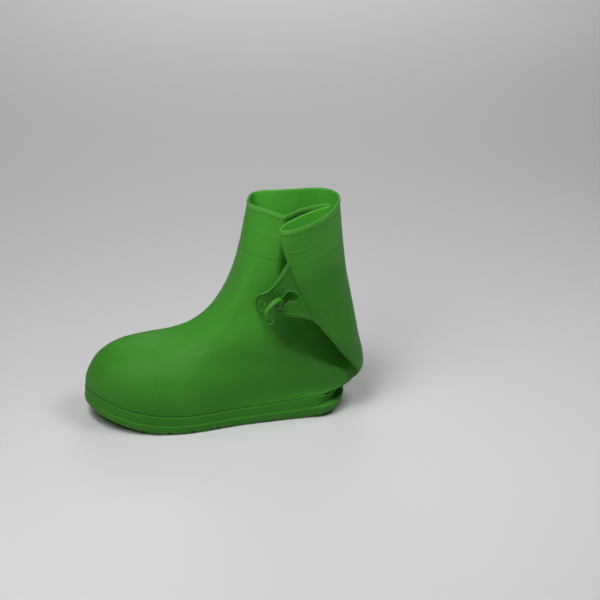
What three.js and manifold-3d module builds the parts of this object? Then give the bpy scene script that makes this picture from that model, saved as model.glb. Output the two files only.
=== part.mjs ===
import * as THREE from 'three';
import { mergeVertices } from 'three/addons/utils/BufferGeometryUtils.js';
import Module from 'manifold-3d';

const wasm = await Module();
wasm.setup();

// Driving sizes in millimetres. X runs from toe to heel, -Y is the outer side, +Z is up.
const reach = 160; // half the foot's length, the unit of every x share
const girth = 60; // half the width over the ball, the unit of every y share
const shaft = 250; // height of the shaft under its rim bead, the unit of every z share
const wall = 2.2; // rubber thickness of the upper
const gap = 0.3; // clearance left between pieces that touch
const toeY = 0.13; // share of girth at which the toe's tip lies
const rootTurn = 3.5; // length of the turn at the fold's root
const rootHalf = 1.3; // half its width
const lobeLength = 1.2; // length of the fold's rounded edge, in lobes

// Sole
const bandTop = 23; // height of the side band over the ball
const toeLift = 15; // how far the tread rises at the toe
const toeLiftStart = 66; // where the tread starts to rise, forward of the middle
const toeBand = 15; // how much higher the band stands at the toe
const heelBand = 6; // how much higher the band stands at the heel
const bandStep = 0.9; // how far the side band stands out from the upper
const edgeStep = 1.7; // how far the sole's lower edge stands out
const treadTuck = 1; // how far the tread is drawn in under the edge
const toeTuck = 5; // how much further it is drawn in under the toe
const heelTuck = 2; // and under the heel
const soleFloor = 9; // thickness of the sole under the foot
const soleLip = 4.5; // width of the sole's edge that carries the upper
const cleatDepth = 3.5;
const cleatGap = 4.5;
const archDepth = 1.6; // clearance under the waist
const ledgeReach = 3.6; // how far the kick-off ledge stands out at the heel
const neckDepth = 1; // how far the band is drawn in above the ledge
const edgeFoot = 0.2; // heights of the side's steps, as shares of the sole's height there
const edgeTop = 0.45;
const bandFoot = 0.54;
const neckTop = 0.84;
const bandHead = 0.93;

// Moulded lines of the shaft
const rimBead = 0.9; // how far the band at the rim stands out
const rimBand = 5.2; // its height
const rimStep = 0.7; // height over which the band comes back to the wall
const ridge = 0.7;
const ridgeHalf = 1.3; // half the ridge's height
const ridgeDrop = 27.5; // distance of the ridge under the rim

// Strap
const strapThick = 2.4;
const strapRaise = 1; // height of the border and of the keyhole's rim
const strapBorder = 2.2; // width of the border
const strapSlope = 0.8; // width of the step down to the panel
const strapFreeY = 0.82; // share of girth at which the strap's free end lies
const strapSpan = 51; // length over which it bends
const keyholeRadius = 6.9;
const keyholeRim = 1.8;
const slotRadius = 4;
const nubRadius = 2;
const nubSink = 0.3; // how far the nubs' middles lie under the panel's face

// Button
const buttonLength = 27;
const buttonWidth = 18;
const buttonDepth = 6;
const buttonStandOff = 10; // from the strap's face to the button's middle
const buttonAt = { x: 0.334, z: 0.624 }; // shares of reach and shaft
const stemRadius = 2.8;
const stemLength = 20; // reaches into the near wall, where it is cut back
const stemShift = { x: 1.5, z: 1.2 }; // from the slot's end

// The button's section, from the middle of its back round to the middle of its face.
const BUTTON_FACE = [
  { radius: 0, height: -0.42 }, { radius: 0.6, height: -0.48 }, { radius: 0.9, height: -0.42 },
  { radius: 1, height: -0.22 }, { radius: 1, height: 0.22 }, { radius: 0.92, height: 0.4 },
  { radius: 0.82, height: 0.42 }, { radius: 0.74, height: 0.34 }, { radius: 0.34, height: 0.34 },
  { radius: 0.28, height: 0.44 }, { radius: 0.17, height: 0.42 }, { radius: 0.14, height: 0.1 },
  { radius: 0, height: 0.08 },
];

const table = (columns, rows) => {
  return rows.map((row) => Object.fromEntries(columns.map((name, i) => [name, row[i]])));
};

// Plain outline of the upper, one row per section from the sole's edge up to the rim.
const SECTIONS = table(
  ['frontX', 'frontZ', 'ballX', 'outY', 'inY', 'ballZ', 'heelX', 'heelY', 'heelZ', 'backX', 'backY', 'backZ', 'pinch'],
  [
    [-1.010, 0.15, -0.36, -1.04, 0.90, 0.09, 0.66, 0.68, 0.11, 0.846, 0.05, 0.11, 0.09],
    [-1.005, 0.19, -0.36, -1.05, 0.92, 0.15, 0.67, 0.70, 0.17, 0.940, 0.05, 0.17, 0.07],
    [-0.975, 0.24, -0.36, -1.02, 0.90, 0.21, 0.68, 0.71, 0.23, 0.970, 0.06, 0.23, 0.05],
    [-0.925, 0.29, -0.34, -0.93, 0.82, 0.27, 0.69, 0.71, 0.30, 0.978, 0.07, 0.30, 0.04],
    [-0.820, 0.34, -0.30, -0.80, 0.71, 0.31, 0.69, 0.71, 0.37, 0.965, 0.08, 0.38, 0.03],
    [-0.665, 0.365, -0.25, -0.68, 0.61, 0.345, 0.68, 0.71, 0.44, 0.950, 0.09, 0.46, 0.02],
    [-0.480, 0.375, -0.18, -0.60, 0.54, 0.375, 0.66, 0.71, 0.51, 0.937, 0.10, 0.54, 0.00],
    [-0.305, 0.393, -0.09, -0.54, 0.50, 0.425, 0.65, 0.71, 0.58, 0.923, 0.11, 0.61, 0.00],
    [-0.142, 0.45, 0.00, -0.50, 0.51, 0.49, 0.64, 0.71, 0.65, 0.908, 0.12, 0.67, 0.00],
    [-0.018, 0.54, 0.08, -0.48, 0.53, 0.58, 0.63, 0.71, 0.72, 0.898, 0.13, 0.74, 0.00],
    [0.071, 0.65, 0.15, -0.45, 0.56, 0.68, 0.63, 0.70, 0.79, 0.888, 0.14, 0.81, 0.00],
    [0.130, 0.77, 0.21, -0.40, 0.60, 0.79, 0.64, 0.69, 0.87, 0.879, 0.15, 0.88, 0.00],
    [0.172, 0.89, 0.26, -0.34, 0.63, 0.91, 0.66, 0.66, 0.94, 0.871, 0.16, 0.95, 0.00],
    [0.210, 1.013, 0.31, -0.28, 0.66, 1.016, 0.69, 0.63, 1.018, 0.863, 0.17, 1.017, 0.00],
  ],
);

// The pleat on the outer side, one row per section: the corner where the near wall turns in,
// the root of the fold near the back wall, and the fold's free edge.
const PLEAT = table(
  ['cornerX', 'cornerY', 'cornerZ', 'rootX', 'rootY', 'rootZ', 'edgeX', 'edgeY', 'edgeZ', 'lobe', 'turn', 'bow', 'belly'],
  [
    [0.685, -0.79, 0.11, 0.75, -0.70, 0.11, 0.805, -0.48, 0.11, 0.02, 0.06, 0.00, 0.05],
    [0.880, -0.68, 0.16, 0.93, -0.53, 0.16, 0.958, -0.37, 0.15, 0.03, 0.06, 0.00, 0.11],
    [0.855, -0.72, 0.22, 0.905, -0.62, 0.22, 0.968, -0.61, 0.205, 0.03, 0.06, 0.00, 0.12],
    [0.700, -0.78, 0.28, 0.885, -0.35, 0.30, 0.895, -0.76, 0.28, 0.07, 0.20, 0.02, 0.13],
    [0.500, -0.79, 0.35, 0.86, -0.23, 0.37, 0.800, -0.91, 0.36, 0.07, 0.25, 0.05, 0.17],
    [0.380, -0.78, 0.40, 0.84, -0.17, 0.44, 0.740, -1.00, 0.42, 0.07, 0.25, 0.08, 0.20],
    [0.340, -0.75, 0.46, 0.82, -0.15, 0.51, 0.670, -1.06, 0.48, 0.07, 0.20, 0.10, 0.22],
    [0.335, -0.72, 0.52, 0.80, -0.15, 0.58, 0.610, -1.11, 0.55, 0.07, 0.16, 0.10, 0.22],
    [0.345, -0.69, 0.60, 0.79, -0.17, 0.64, 0.560, -1.15, 0.62, 0.07, 0.13, 0.10, 0.22],
    [0.360, -0.66, 0.69, 0.78, -0.20, 0.71, 0.505, -1.17, 0.70, 0.07, 0.12, 0.10, 0.22],
    [0.375, -0.62, 0.78, 0.77, -0.24, 0.79, 0.450, -1.19, 0.78, 0.08, 0.12, 0.10, 0.22],
    [0.390, -0.60, 0.86, 0.76, -0.28, 0.86, 0.400, -1.20, 0.86, 0.10, 0.12, 0.10, 0.23],
    [0.405, -0.59, 0.93, 0.75, -0.31, 0.94, 0.370, -1.22, 0.93, 0.12, 0.12, 0.10, 0.24],
    [0.425, -0.59, 1.01, 0.75, -0.32, 1.015, 0.355, -1.21, 1.005, 0.14, 0.12, 0.10, 0.25],
  ],
);

// Heights at which the upper is sampled, in rows of the tables.
const LEVELS = [0, 1, 1.5, 2, 2.5, 3, 3.5, 4, 4.5, 5, 5.5, 6, 6.5, 7.2, 8, 9, 10, 11];

// Above them it is sampled at distances under the rim, with what stands out there.
const DROPS = [
  { drop: ridgeDrop + ridgeHalf, out: 0 },
  { drop: ridgeDrop, out: ridge },
  { drop: ridgeDrop - ridgeHalf, out: 0 },
  { drop: (ridgeDrop + rimBand) / 2, out: 0 },
  { drop: rimBand + rimStep, out: 0 },
  { drop: rimBand, out: rimBead },
  { drop: 0, out: rimBead },
];

// Points taken on each stretch of a section, in the order of the section's own points.
const STRETCHES = [
  3, 3, 3, 2, 2, 2, 2, 2, 2, 2, 2, 2, 2, 2, 2, 3, 3, 2, 2, 2, 2, 3, 3, 3, 2, 2, 2, 3, 3, 3,
];

// Free outline of the strap from the upper end of its seam round to the lower end.
const STRAP_EDGE = table(
  ['x', 'z'],
  [
    [0.398, 0.835], [0.373, 0.788], [0.344, 0.744], [0.313, 0.708], [0.270, 0.677],
    [0.231, 0.667], [0.206, 0.652], [0.193, 0.632], [0.193, 0.606], [0.204, 0.576],
    [0.229, 0.542], [0.262, 0.518], [0.294, 0.503], [0.316, 0.505], [0.337, 0.527],
    [0.361, 0.546], [0.388, 0.554], [0.452, 0.548], [0.530, 0.547], [0.594, 0.538],
  ],
);
const seamTop = 0.856; // heights of the strap's seam on the fold
const seamFoot = 0.516;
const seamBite = 1; // how far the strap is drawn into the fold before it is cut back
const keyhole = { x: 0.450, z: 0.664 };
const slotEnd = { x: 0.315, z: 0.592 };
const NUBS = table(
  ['x', 'z'],
  [[0.234, 0.623], [0.273, 0.610], [0.247, 0.576], [0.285, 0.537]],
);

// Grooves across the tread, as shares of reach.
const GROOVES = [-0.92, -0.775, -0.625, -0.445, -0.27, -0.09, 0.63, 0.79];
const arch = { from: 0.12, to: 0.42 };

const smooth = (value, from, to) => THREE.MathUtils.smoothstep((value - from) / (to - from), 0, 1);

const liftAt = (x) => toeLift * Math.max(0, (-x - toeLiftStart) / (reach - toeLiftStart)) ** 2;

const bandAt = (x) => {
  const toe = toeBand * smooth(-x, 0.5 * reach, 0.94 * reach);
  const heel = heelBand * smooth(x, 0.25 * reach, 0.7 * reach);
  return bandTop + toe + heel;
};

const material = (colour, roughness) => new THREE.MeshStandardMaterial({ color: colour, roughness });

// A point on a rounded quarter between an end of the foot and its widest place.
const quarter = (end, side, degrees, fullness = 0.88) => {
  const turn = THREE.MathUtils.degToRad(degrees);
  const along = Math.cos(turn) ** fullness;
  const across = Math.sin(turn) ** fullness;
  return new THREE.Vector3(
    side.x + (end.x - side.x) * along,
    end.y + (side.y - end.y) * across,
    end.z + (side.z - end.z) * (1 - Math.cos(turn)),
  );
};

// The same between the toe's tip and the ball, with its end turned into the wall that follows.
const outerQuarter = (end, side, following, degrees) => {
  const turn = THREE.MathUtils.degToRad(degrees);
  const slope = Math.min(0, (following.y - side.y) / (following.x - side.x));
  const middleY = end.y + slope * (side.x - end.x);
  const across = middleY + (side.y - middleY) * Math.sin(turn) + (end.y - middleY) * Math.cos(turn);
  return quarter(end, side, degrees, 1).setY(across);
};

const towards = (from, to, distance) => {
  const step = to.clone().sub(from).setZ(0).normalize().multiplyScalar(distance);
  return from.clone().add(step);
};

const bowed = (from, to, share, amount) => {
  const along = to.clone().sub(from).setZ(0).normalize();
  const out = new THREE.Vector3(along.y, -along.x, 0);
  return from.clone().lerp(to, share).addScaledVector(out, amount * 4 * share * (1 - share));
};

// The thirty points that one section passes through, from the toe round the outer side.
const sectionPoints = (plain, pleat) => {
  const at = (x, y, z) => new THREE.Vector3(x * reach, y * girth, z * shaft);
  const front = at(plain.frontX, toeY, plain.frontZ);
  const ballOut = at(plain.ballX, plain.outY, plain.ballZ);
  const ballIn = at(plain.ballX, plain.inY, plain.ballZ);
  const heelIn = at(plain.heelX, plain.heelY, plain.heelZ);
  const back = at(plain.backX, plain.backY, plain.backZ);
  const corner = at(pleat.cornerX, pleat.cornerY, pleat.cornerZ);
  const root = at(pleat.rootX, pleat.rootY, pleat.rootZ);
  const edge = at(pleat.edgeX, pleat.edgeY, pleat.edgeZ);
  const pinch = -plain.pinch * girth;
  const bow = -pleat.bow * girth;
  const belly = pleat.belly * girth;
  const turn = pleat.turn * girth;
  const lobe = pleat.lobe * girth;

  const across = corner.clone().sub(edge).setZ(0).normalize();
  const rootNear = towards(root, corner, rootTurn).addScaledVector(across, rootHalf);
  const rootFar = towards(root, edge, rootTurn).addScaledVector(across, -rootHalf);
  const outside = bowed(edge, back, 0.25, belly);
  const lobeAcross = edge.clone().lerp(root, 0.4).sub(outside).setZ(0).normalize();
  const edgeNear = towards(edge, root, lobeLength * lobe).addScaledVector(lobeAcross, lobe);
  const edgeFar = towards(edge, outside, lobeLength * lobe).addScaledVector(lobeAcross, -lobe);
  const before = towards(corner, ballOut, turn);
  const after = towards(corner, root, turn);
  return [
    front,
    outerQuarter(front, ballOut, before, 30),
    outerQuarter(front, ballOut, before, 60),
    ballOut,
    bowed(ballOut, before, 0.44, pinch * 0.6),
    bowed(ballOut, before, 0.75, pinch * 0.6),
    before,
    corner,
    after,
    bowed(after, rootNear, 0.33, bow),
    bowed(after, rootNear, 0.66, bow),
    rootNear,
    rootFar,
    bowed(rootFar, edgeNear, 0.33, -0.6 * bow),
    bowed(rootFar, edgeNear, 0.66, -0.6 * bow),
    edgeNear,
    edge,
    edgeFar,
    bowed(edgeFar, back, 0.25, belly),
    bowed(edgeFar, back, 0.5, belly),
    bowed(edgeFar, back, 0.76, belly),
    back,
    quarter(back, heelIn, 30),
    quarter(back, heelIn, 60),
    heelIn,
    bowed(heelIn, ballIn, 0.28, 1.5 * pinch),
    bowed(heelIn, ballIn, 0.62, 1.5 * pinch),
    ballIn,
    quarter(front, ballIn, 60),
    quarter(front, ballIn, 30),
  ];
};

// Rails run up the upper through the matching points of all sections.
const buildRails = () => {
  const rows = SECTIONS.map((plain, i) => sectionPoints(plain, PLEAT[i]));
  rows[0].forEach((point) => point.setZ(bandAt(point.x)));
  const railOf = (k) => new THREE.CatmullRomCurve3(rows.map((row) => row[k]), false, 'centripetal');
  return rows[0].map((_, k) => railOf(k));
};

const rails = buildRails();

// A closed ring through one point of every rail.
const ringThrough = (through) => {
  const loop = new THREE.CatmullRomCurve3(through, true, 'centripetal');
  const points = [];
  STRETCHES.forEach((count, k) => {
    for (let i = 0; i < count; i += 1) {
      points.push(loop.getPoint((k + i / count) / STRETCHES.length));
    }
  });
  return points;
};

const ringAt = (row) => ringThrough(rails.map((rail) => rail.getPoint(row / (SECTIONS.length - 1))));

const ringUnderRim = (drop) => {
  return ringThrough(rails.map((rail) => rail.getPointAt(1 - drop / rail.getLength())));
};

// Outward normals of a stack of rings.
const normalsOf = (rings) => rings.map((ring, i) => ring.map((_, j) => {
  const next = ring[(j + 1) % ring.length];
  const last = ring[(j + ring.length - 1) % ring.length];
  const above = rings[Math.min(i + 1, rings.length - 1)][j];
  const below = rings[Math.max(i - 1, 0)][j];
  return next.clone().sub(last).cross(above.clone().sub(below)).normalize();
}));

// Joins rings of equal length into a closed skin; without wrap its two ends close on their middles.
const skin = (rings, wrap) => {
  const size = rings[0].length;
  const points = rings.flat();
  const faces = [];
  const joined = wrap ? rings.length : rings.length - 1;
  for (let k = 0; k < joined; k += 1) {
    const low = k * size;
    const high = ((k + 1) % rings.length) * size;
    for (let j = 0; j < size; j += 1) {
      const n = (j + 1) % size;
      faces.push([low + j, low + n, high + n], [low + j, high + n, high + j]);
    }
  }
  if (!wrap) {
    [0, rings.length - 1].forEach((k) => {
      const middle = new THREE.Vector3();
      rings[k].forEach((point) => middle.addScaledVector(point, 1 / size));
      points.push(middle);
      const centre = points.length - 1;
      for (let j = 0; j < size; j += 1) {
        const pair = [k * size + j, k * size + ((j + 1) % size)];
        faces.push(k === 0 ? [centre, pair[1], pair[0]] : [centre, pair[0], pair[1]]);
      }
    });
  }
  const geometry = new THREE.BufferGeometry().setFromPoints(points);
  geometry.setIndex(faces.flat());
  return geometry;
};

const volumeOf = (geometry) => {
  const place = geometry.getAttribute('position');
  const index = geometry.getIndex();
  const corner = (i) => new THREE.Vector3().fromBufferAttribute(place, index.getX(i));
  let sum = 0;
  for (let i = 0; i < index.count; i += 3) {
    sum += corner(i).dot(corner(i + 1).cross(corner(i + 2))) / 6;
  }
  return sum;
};

const outward = (geometry) => {
  if (volumeOf(geometry) < 0) {
    const index = Array.from(geometry.getIndex().array);
    for (let i = 0; i < index.length; i += 3) {
      [index[i], index[i + 1]] = [index[i + 1], index[i]];
    }
    geometry.setIndex(index);
  }
  return geometry;
};

const toSolid = (geometry) => {
  const bare = geometry.clone();
  Object.keys(bare.attributes).forEach((name) => {
    if (name !== 'position') bare.deleteAttribute(name);
  });
  const merged = outward(mergeVertices(bare, 1e-4));
  return new wasm.Manifold(new wasm.Mesh({
    numProp: 3,
    vertProperties: Float32Array.from(merged.getAttribute('position').array),
    triVerts: Uint32Array.from(merged.getIndex().array),
  }));
};

const fromSolid = (solid) => {
  const mesh = solid.getMesh();
  const geometry = new THREE.BufferGeometry();
  geometry.setAttribute('position', new THREE.BufferAttribute(Float32Array.from(mesh.vertProperties), 3));
  geometry.setIndex(Array.from(mesh.triVerts));
  return geometry;
};

const named = (name, geometry, colour, roughness) => {
  const mesh = new THREE.Mesh(geometry, material(colour, roughness));
  mesh.name = name;
  return mesh;
};

// The open shell: its outer face, grown by an amount, the rim and the inner face.
const buildUpper = (grown = 0) => {
  const rings = [...LEVELS.map(ringAt), ...DROPS.map((level) => ringUnderRim(level.drop))];
  const outs = [...LEVELS.map(() => 0), ...DROPS.map((level) => level.out)];
  const normals = normalsOf(rings);
  normals[0].forEach((normal) => normal.setZ(0).normalize());
  const shifted = (i, amount) => {
    return rings[i].map((point, j) => point.clone().addScaledVector(normals[i][j], amount));
  };
  const outer = outs.map((out, i) => shifted(i, out + grown));
  const inner = outs.map((out, i) => shifted(i, -wall)).reverse();
  return outward(skin([...outer, ...inner], true));
};

// The sole follows the upper's lowest section, pushed in or out by the steps of its side.
const buildOutsole = () => {
  const edge = ringAt(0);
  const size = edge.length;
  const plan = edge.map((_, j) => {
    const along = edge[(j + 1) % size].clone().sub(edge[(j + size - 1) % size]).setZ(0).normalize();
    return new THREE.Vector3(along.y, -along.x, 0);
  });
  const ring = (out, heightAt) => edge.map((point, j) => {
    const moved = point.clone().addScaledVector(plan[j], typeof out === 'function' ? out(point) : out);
    return moved.setZ(heightAt(moved.x, point.z));
  });
  const shrunk = (out, share, heightAt) => ring(out, heightAt).map((point) => {
    const moved = new THREE.Vector3(point.x * share, point.y * share, 0);
    return moved.setZ(heightAt(moved.x));
  });
  const floor = (x) => soleFloor + liftAt(x);
  const part = (share) => (x, top) => THREE.MathUtils.lerp(liftAt(x), top - gap, share);
  const atHeel = (point) => smooth(point.x, 0.63 * reach, 0.8 * reach);
  const band = (point) => THREE.MathUtils.lerp(bandStep, -neckDepth, atHeel(point));
  const lower = (share) => (point) => edgeStep + share * ledgeReach * atHeel(point);
  const tuck = (point) => {
    const toe = toeTuck * smooth(-point.x, 0.4 * reach, 0.9 * reach);
    return -treadTuck - toe - heelTuck * atHeel(point);
  };
  const rings = [
    shrunk(tuck, 0.5, liftAt),
    ring(tuck, liftAt),
    ring(lower(0.5), part(edgeFoot)),
    ring(lower(1), part(edgeTop)),
    ring(band, part(bandFoot)),
    ring(band, part(neckTop)),
    ring(bandStep, part(bandHead)),
    ring(0, part(1)),
    ring(-soleLip, part(1)),
    ring(-soleLip, floor),
    shrunk(-soleLip, 0.5, floor),
  ];
  let solid = toSolid(skin(rings, false));
  const groove = (x, width) => {
    const box = new THREE.BoxGeometry(width, 4 * girth, 2 * cleatDepth);
    box.translate(x, 0, liftAt(x));
    return toSolid(box);
  };
  GROOVES.forEach((x) => {
    solid = solid.subtract(groove(x * reach, cleatGap));
  });
  const waist = new THREE.BoxGeometry((arch.to - arch.from) * reach, 4 * girth, 2 * archDepth);
  waist.translate(((arch.from + arch.to) / 2) * reach, 0, 0);
  solid = solid.subtract(toSolid(waist));
  return fromSolid(solid);
};

const foldRail = 16; // the rail that runs up the fold's free edge

// Where that edge stands at a height.
const foldEdgeAt = (z) => {
  const rail = rails[foldRail];
  let low = 0;
  let high = 1;
  for (let i = 0; i < 30; i += 1) {
    const middle = (low + high) / 2;
    if (rail.getPoint(middle).z < z) low = middle;
    else high = middle;
  }
  return rail.getPoint(low);
};

const seamStart = () => foldEdgeAt(seamTop * shaft);
const seamEnd = () => foldEdgeAt(seamFoot * shaft);

// The strap's middle surface: it leaves the fold and bends in towards the near wall.
const strapPoint = (x, z, height = 0) => {
  const top = seamStart();
  const foot = seamEnd();
  const depthAt = (px, pz) => {
    const along = new THREE.Vector2(foot.x - top.x, foot.z - top.z).normalize();
    const distance = (px - top.x) * along.y - (pz - top.z) * along.x;
    const share = THREE.MathUtils.clamp(distance / strapSpan, 0, 1);
    const level = THREE.MathUtils.clamp(pz, foot.z, top.z);
    const seamY = THREE.MathUtils.mapLinear(level, foot.z, top.z, foot.y, top.y);
    return THREE.MathUtils.lerp(seamY, -strapFreeY * girth, 1 - (1 - share) ** 1.6);
  };
  const step = 0.5;
  const slopeX = (depthAt(x + step, z) - depthAt(x - step, z)) / (2 * step);
  const slopeZ = (depthAt(x, z + step) - depthAt(x, z - step)) / (2 * step);
  const out = new THREE.Vector3(slopeX, -1, slopeZ).normalize();
  return new THREE.Vector3(x, depthAt(x, z), z).addScaledVector(out, height);
};

const strapOutline = () => {
  const free = STRAP_EDGE.map((row) => new THREE.Vector3(row.x * reach, 0, row.z * shaft));
  const seam = [];
  for (let i = 0; i <= 5; i += 1) {
    const z = THREE.MathUtils.lerp(seamFoot, seamTop, i / 5) * shaft;
    seam.push(new THREE.Vector3(foldEdgeAt(z).x + seamBite, 0, z));
  }
  const sample = (points, count) => {
    return new THREE.CatmullRomCurve3(points, false, 'centripetal').getSpacedPoints(count).slice(0, -1);
  };
  return [...sample([seam[5], ...free, seam[0]], 36), ...sample(seam, 12)];
};

// How far the keyhole reaches from a point on its axis: a round hole joined to a narrower slot.
const keyholeReach = (start, direction) => {
  const hole = new THREE.Vector2(keyhole.x * reach, keyhole.z * shaft);
  const end = new THREE.Vector2(slotEnd.x * reach, slotEnd.z * shaft);
  const discs = [{ centre: hole, radius: keyholeRadius }];
  for (let i = 0; i <= 16; i += 1) {
    discs.push({ centre: hole.clone().lerp(end, i / 16), radius: slotRadius });
  }
  return Math.max(...discs.map((disc) => {
    const offset = disc.centre.clone().sub(start);
    const ahead = offset.dot(direction);
    const inside = disc.radius ** 2 - offset.lengthSq() + ahead ** 2;
    return inside > 0 ? ahead + Math.sqrt(inside) : 0;
  }));
};

const towardsFlat = (from, to, distance) => {
  const step = to.clone().sub(from).setY(0).normalize().multiplyScalar(distance);
  return from.clone().add(step);
};

const buildStrap = (clearance) => {
  const outline = strapOutline();
  const hole = new THREE.Vector2(keyhole.x * reach, keyhole.z * shaft);
  const end = new THREE.Vector2(slotEnd.x * reach, slotEnd.z * shaft);
  const start = hole.clone().lerp(end, 0.2);
  const inner = outline.map((point) => {
    const direction = new THREE.Vector2(point.x, point.z).sub(start).normalize();
    const place = start.clone().addScaledVector(direction, keyholeReach(start, direction));
    return new THREE.Vector3(place.x, 0, place.y);
  });
  const half = strapThick / 2;
  const top = half + strapRaise;
  const fromEdge = (distance, height) => outline.map((point, j) => {
    const place = towardsFlat(point, inner[j], distance);
    return strapPoint(place.x, place.z, height);
  });
  const fromHole = (distance, height) => outline.map((point, j) => {
    const place = towardsFlat(inner[j], point, distance);
    return strapPoint(place.x, place.z, height);
  });
  const between = (share, height) => outline.map((point, j) => {
    const place = point.clone().lerp(inner[j], share);
    return strapPoint(place.x, place.z, height);
  });
  const rings = [
    fromEdge(0, -half),
    fromEdge(0, top),
    fromEdge(strapBorder, top),
    fromEdge(strapBorder + strapSlope, half),
    between(0.38, half),
    between(0.66, half),
    fromHole(keyholeRim + strapSlope, half),
    fromHole(keyholeRim, top),
    fromHole(0, top),
    fromHole(0, -half),
    between(0.66, -half),
    between(0.38, -half),
  ];
  let solid = toSolid(skin(rings, true));
  NUBS.forEach((nub) => {
    const ball = new THREE.SphereGeometry(nubRadius, 8, 5);
    const place = strapPoint(nub.x * reach, nub.z * shaft, half - nubSink);
    ball.translate(place.x, place.y, place.z);
    solid = solid.add(toSolid(ball));
  });
  return fromSolid(solid.subtract(clearance));
};

// The oval button with its dished face, on a stem through the slot to the near wall.
const buildButton = (clearance) => {
  const profile = BUTTON_FACE.map((row) => new THREE.Vector2(row.radius, row.height * buttonDepth));
  const head = new THREE.LatheGeometry(profile, 22);
  head.scale(buttonLength / 2, 1, buttonWidth / 2);
  const long = new THREE.Vector3(0.77, 0.17, 0.61).normalize();
  const face = new THREE.Vector3(0.4, -0.82, -0.4);
  face.addScaledVector(long, -face.dot(long)).normalize();
  const side = new THREE.Vector3().crossVectors(long, face);
  const standOff = strapThick / 2 + buttonStandOff;
  const middle = strapPoint(buttonAt.x * reach, buttonAt.z * shaft, standOff);
  head.applyMatrix4(new THREE.Matrix4().makeBasis(long, face, side).setPosition(middle));
  const stem = new THREE.CylinderGeometry(stemRadius, stemRadius, stemLength, 14);
  const stemX = slotEnd.x * reach + stemShift.x;
  const stemZ = slotEnd.z * shaft + stemShift.z;
  stem.translate(stemX, middle.y + stemLength / 2, stemZ);
  return fromSolid(toSolid(head).add(toSolid(stem).subtract(clearance)));
};

const clearance = toSolid(buildUpper(gap));
const pieces = [
  named('upper', buildUpper(), 0x3f8a2c, 0.55),
  named('outsole', buildOutsole(), 0x3a7f29, 0.62),
  named('closure_strap', buildStrap(clearance), 0x428f2e, 0.52),
  named('button', buildButton(clearance), 0x46952f, 0.5),
];

const group = new THREE.Group();
group.name = 'overshoe';
pieces.forEach((piece) => group.add(piece));

// The origin is on the ground under the middle of the whole overshoe.
const bounds = new THREE.Box3().setFromObject(group);
const middle = bounds.getCenter(new THREE.Vector3()).setZ(bounds.min.z);
pieces.forEach((piece) => {
  piece.geometry.translate(-middle.x, -middle.y, -middle.z);
  piece.geometry.computeVertexNormals();
});

export default group;
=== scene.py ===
import math

import bmesh
import bpy
import numpy as np
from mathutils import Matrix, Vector


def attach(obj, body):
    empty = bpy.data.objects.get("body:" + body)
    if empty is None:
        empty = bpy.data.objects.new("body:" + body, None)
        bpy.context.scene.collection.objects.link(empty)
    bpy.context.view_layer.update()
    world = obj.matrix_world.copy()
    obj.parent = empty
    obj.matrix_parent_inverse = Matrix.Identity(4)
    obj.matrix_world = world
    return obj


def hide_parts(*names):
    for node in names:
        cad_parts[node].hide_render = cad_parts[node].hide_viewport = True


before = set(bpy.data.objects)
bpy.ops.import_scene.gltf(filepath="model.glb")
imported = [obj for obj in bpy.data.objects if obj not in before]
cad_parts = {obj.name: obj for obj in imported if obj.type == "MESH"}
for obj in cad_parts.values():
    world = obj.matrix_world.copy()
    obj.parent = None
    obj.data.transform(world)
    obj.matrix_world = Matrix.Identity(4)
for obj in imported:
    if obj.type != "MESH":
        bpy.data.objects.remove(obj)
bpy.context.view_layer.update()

bl_info = {
    "name": "Rubber overshoe",
    "version": (1, 0, 0),
    "blender": (4, 5, 0),
    "location": "3D View > Sidebar > Overshoe",
    "description": "Builds a slip-on rubber overshoe with a pleated shaft and a button strap",
    "category": "Add Mesh",
}

# Brings a place measured from the tables' own origin into the shared frame.
GROUND = np.array([-0.00003, 0.01076, 0.0])
FLAT = np.array([1.0, 1.0, 0.0])  # keeps only what lies along the ground
GAP = 0.0003  # clearance between pieces that touch

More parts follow.
